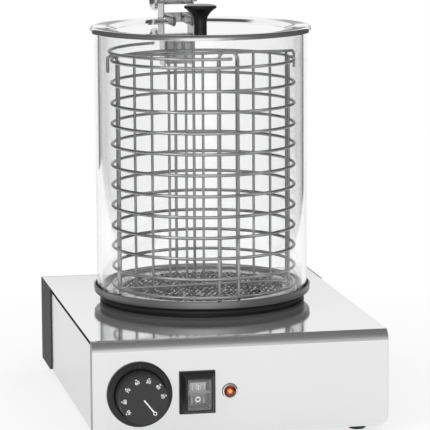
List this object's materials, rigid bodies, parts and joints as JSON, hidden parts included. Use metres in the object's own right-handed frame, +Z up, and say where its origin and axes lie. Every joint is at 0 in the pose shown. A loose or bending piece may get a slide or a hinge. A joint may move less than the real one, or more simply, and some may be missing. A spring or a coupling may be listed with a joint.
{
  "type": "hot dog steamer",
  "caption": "Countertop hot dog steamer: stainless box with thermostat dial, switch and pilot lamp, and a lidded glass cylinder over a heated water pan, holding a divided wire basket.",
  "frame": {"origin": "middle of the outline, on the table under the feet", "axes": "+Z up, -Y towards the front panel with the controls, +X to the right seen from the front"},
  "size_m": [0.2724, 0.3812, 0.3825],
  "materials": {
    "stainless_sheet": "satin brushed",
    "grey_paint": "satin dark grey paint",
    "foot_rubber": "matte pale grey",
    "pan_metal": "satin",
    "black_rubber": "matte",
    "zinc_steel": "plain",
    "element_steel": "dull",
    "black_plastic": "fine matte",
    "rocker_plastic": "gloss",
    "clear_cover": "clear flexible plastic",
    "chrome_trim": "polished",
    "orange_lens": "clear orange-red",
    "white_plastic": "matte",
    "clear_glass": "clear, polished",
    "plate_metal": "dull, perforated",
    "polished_steel": "mirror polished",
    "knob_plastic": "satin black",
    "wire_steel": "bright drawn wire"
  },
  "bodies": {
    "base": {"hood": "stainless_sheet", "side_panel_left": "stainless_sheet", "side_panel_right": "stainless_sheet", "rear_cover": "grey_paint", "base_plate": "stainless_sheet", "feet": "foot_rubber", "water_pan": "pan_metal", "pan_seal": "black_rubber", "pan_bolts": "zinc_steel", "heating_element": "element_steel", "heater_strap": "zinc_steel", "strap_bolt": "zinc_steel", "safety_cutout": "black_plastic", "dial_bezel": "black_plastic", "thermostat_body": "black_plastic", "switch_housing": "black_plastic", "splash_cover": "clear_cover", "lamp_ring": "chrome_trim", "lamp_lens": "orange_lens", "lamp_body": "black_plastic", "gland_body": "black_plastic", "gland_cap": "black_plastic", "terminal_block": "white_plastic"},
    "dial": {"dial_knob": "black_plastic", "thermostat_shaft": "zinc_steel"},
    "rocker": {"switch_rocker": "rocker_plastic"},
    "plate": {"drain_plate": "plate_metal"},
    "glass": {"glass_cylinder": "clear_glass"},
    "basket": {"basket_rings": "wire_steel", "front_hairpin": "wire_steel", "hanger_wires": "wire_steel", "side_uprights": "wire_steel", "handle_bracket": "stainless_sheet", "grip_tube": "black_plastic", "grip_pin": "knob_plastic"},
    "divider": {"divider_grid": "wire_steel", "divider_top_wire": "wire_steel", "divider_bow": "wire_steel"},
    "lid": {"lid": "polished_steel", "lid_knob": "knob_plastic", "lid_screw": "zinc_steel"}
  },
  "joints": [
    {"name": "dial_turn", "type": "hinge", "parent": "base", "child": "dial", "pos_m": [-0.0927, -0.1656, 0.0455], "axis": [0, -1, 0], "range_deg": [-126.8, 141.9]},
    {"name": "switch_rock", "type": "hinge", "parent": "base", "child": "rocker", "pos_m": [-0.0406, -0.1671, 0.0449], "axis": [1, 0, 0], "range_deg": [-20, 0]},
    {"name": "plate_lift", "type": "slide", "parent": "base", "child": "plate", "axis": [0, 0, 1], "range_m": [0, 0.05]},
    {"name": "glass_lift", "type": "slide", "parent": "plate", "child": "glass", "axis": [0, 0, 1], "range_m": [0, 0.28]},
    {"name": "basket_lift", "type": "slide", "parent": "glass", "child": "basket", "axis": [0, 0, 1], "range_m": [0, 0.3]},
    {"name": "divider_lift", "type": "slide", "parent": "basket", "child": "divider", "axis": [0, 0, 1], "range_m": [0, 0.25]},
    {"name": "lid_lift", "type": "slide", "parent": "divider", "child": "lid", "axis": [0, 0, 1], "range_m": [0, 0.15]}
  ]
}
